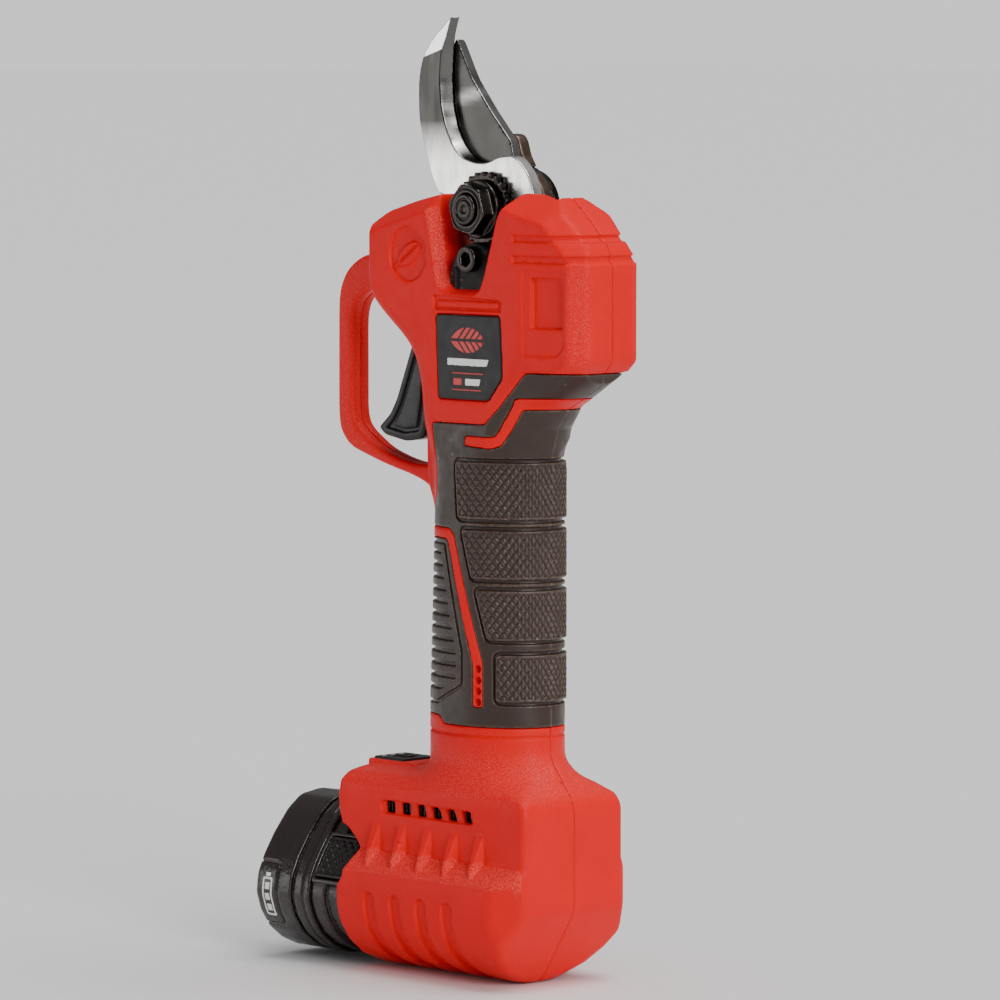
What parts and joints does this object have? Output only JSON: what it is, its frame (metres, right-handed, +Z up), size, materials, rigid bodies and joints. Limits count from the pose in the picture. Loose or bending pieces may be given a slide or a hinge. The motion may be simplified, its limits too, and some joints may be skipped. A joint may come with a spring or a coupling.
{
  "type": "battery electric pruner",
  "caption": "Cordless pruning shear with a hooked counter blade, a gear-driven cutting blade, a trigger in a guard loop, a rubber-covered handle and a slide-out battery in the base.",
  "frame": {"origin": "on the flat underside of the belly, directly below the handle's axis, in the seam plane of the housing halves", "axes": "+Z up along the handle towards the blade tips, +X to the rear of the handle (the palm side), -X towards the trigger and the battery, +Y to the tool's right side"},
  "size_m": [0.1317, 0.0548, 0.2919],
  "materials": {
    "red_housing": "fine-grained glass-filled nylon",
    "grip_rubber": "matte, knurled",
    "badge_panel": "satin",
    "bright_steel": "ground",
    "blade_steel": "polished",
    "black_steel": "black oxide",
    "copper": "copper winding on laminations",
    "black_plastic": "satin, coarse grain",
    "circuit_board": "solder mask",
    "brass_blade": "brass",
    "cell_wrap": "shrink wrap"
  },
  "bodies": {
    "housing": {"housing_left": "red_housing", "housing_right": "red_housing", "grip_left": "grip_rubber", "grip_right": "grip_rubber", "badge_left": "badge_panel", "badge_right": "badge_panel", "counter_blade": "bright_steel", "pivot_bolt": "black_steel", "pivot_nut": "black_steel", "lock_washer": "black_steel", "lock_screw": "black_steel", "gear_frame": "black_steel", "pinion_bearing": "bright_steel", "gearbox_case": "blade_steel", "gearbox_cover": "blade_steel", "motor_stator": "copper", "motor_can": "blade_steel", "motor_end_cap": "black_plastic", "motor_bearing_front": "bright_steel", "motor_bearing_rear": "bright_steel", "trigger_pin": "bright_steel", "trigger_switch": "black_plastic", "control_board": "circuit_board", "indicator_panel": "badge_panel", "terminal_block": "black_plastic", "terminal_blade_left": "brass_blade", "terminal_blade_right": "brass_blade", "housing_screw_1": "black_steel", "housing_screw_2": "black_steel", "housing_screw_3": "black_steel", "housing_screw_4": "black_steel", "housing_screw_5": "black_steel", "housing_screw_6": "black_steel", "housing_screw_7": "black_steel"},
    "moving_blade": {"cutting_blade": "blade_steel", "blade_carrier": "black_steel", "drive_gear": "blade_steel"},
    "pinion_shaft": {"pinion": "blade_steel", "planet_carrier": "blade_steel"},
    "planet_1": {"planet_gear_1": "bright_steel"},
    "planet_2": {"planet_gear_2": "bright_steel"},
    "planet_3": {"planet_gear_3": "bright_steel"},
    "rotor": {"rotor_shaft": "bright_steel", "motor_rotor": "blade_steel"},
    "trigger": {"trigger": "black_plastic", "trigger_spring": "bright_steel"},
    "power_button": {"power_button": "black_plastic"},
    "battery": {"battery_cap": "black_plastic", "battery_stem": "black_plastic", "battery_cell_1": "cell_wrap", "battery_cell_2": "cell_wrap", "battery_cell_3": "cell_wrap", "battery_board": "circuit_board"},
    "latch_left": {"latch_left": "black_plastic", "latch_spring_left": "bright_steel"},
    "latch_right": {"latch_right": "black_plastic", "latch_spring_right": "bright_steel"}
  },
  "joints": [
    {"name": "blade_swing", "type": "hinge", "parent": "housing", "child": "moving_blade", "pos_m": [0.0003, 0, 0.2338], "axis": [0, 1, 0], "range_deg": [0, 48]},
    {"name": "pinion_spin", "type": "hinge", "parent": "housing", "child": "pinion_shaft", "pos_m": [0, 0, 0.197], "axis": [0, 0, 1], "range_deg": [0, 180]},
    {"name": "planet_1_spin", "type": "hinge", "parent": "pinion_shaft", "child": "planet_1", "pos_m": [0.00743, 0, 0.176], "axis": [0, 0, 1], "range_deg": [-504, 0]},
    {"name": "planet_2_spin", "type": "hinge", "parent": "pinion_shaft", "child": "planet_2", "pos_m": [-0.00371, 0.00643, 0.176], "axis": [0, 0, 1], "range_deg": [-504, 0]},
    {"name": "planet_3_spin", "type": "hinge", "parent": "pinion_shaft", "child": "planet_3", "pos_m": [-0.00371, -0.00643, 0.176], "axis": [0, 0, 1], "range_deg": [-504, 0]},
    {"name": "rotor_spin", "type": "hinge", "parent": "housing", "child": "rotor", "pos_m": [0, 0, 0.137], "axis": [0, 0, 1], "range_deg": [0, 810]},
    {"name": "trigger_squeeze", "type": "hinge", "parent": "housing", "child": "trigger", "pos_m": [-0.0265, 0, 0.201], "axis": [0, -1, 0], "range_deg": [0, 6.5], "stiffness_Nm_per_rad": 0.4, "springref_deg": -5.73, "deforming": ["trigger_spring"]},
    {"name": "power_button_press", "type": "slide", "parent": "housing", "child": "power_button", "axis": [0.1692, 0, -0.9856], "range_m": [0, 0.0008], "stiffness_N_per_m": 400, "springref_m": -0.0005},
    {"name": "battery_slide", "type": "slide", "parent": "housing", "child": "battery", "axis": [-1, 0, 0], "range_m": [0, 0.075]},
    {"name": "latch_left_press", "type": "slide", "parent": "battery", "child": "latch_left", "axis": [0, 0.8525, -0.5227], "range_m": [0, 0.0015], "stiffness_N_per_m": 800, "springref_m": -0.001, "deforming": ["latch_spring_left"]},
    {"name": "latch_right_press", "type": "slide", "parent": "battery", "child": "latch_right", "axis": [0, -0.8525, -0.5227], "range_m": [0, 0.0015], "stiffness_N_per_m": 800, "springref_m": -0.001, "deforming": ["latch_spring_right"]}
  ],
  "couplings": [
    {"joint": "pinion_spin", "follows": "blade_swing", "ratio": 3.75},
    {"joint": "planet_1_spin", "follows": "blade_swing", "ratio": -10.5},
    {"joint": "planet_2_spin", "follows": "blade_swing", "ratio": -10.5},
    {"joint": "planet_3_spin", "follows": "blade_swing", "ratio": -10.5},
    {"joint": "rotor_spin", "follows": "blade_swing", "ratio": 16.875}
  ]
}
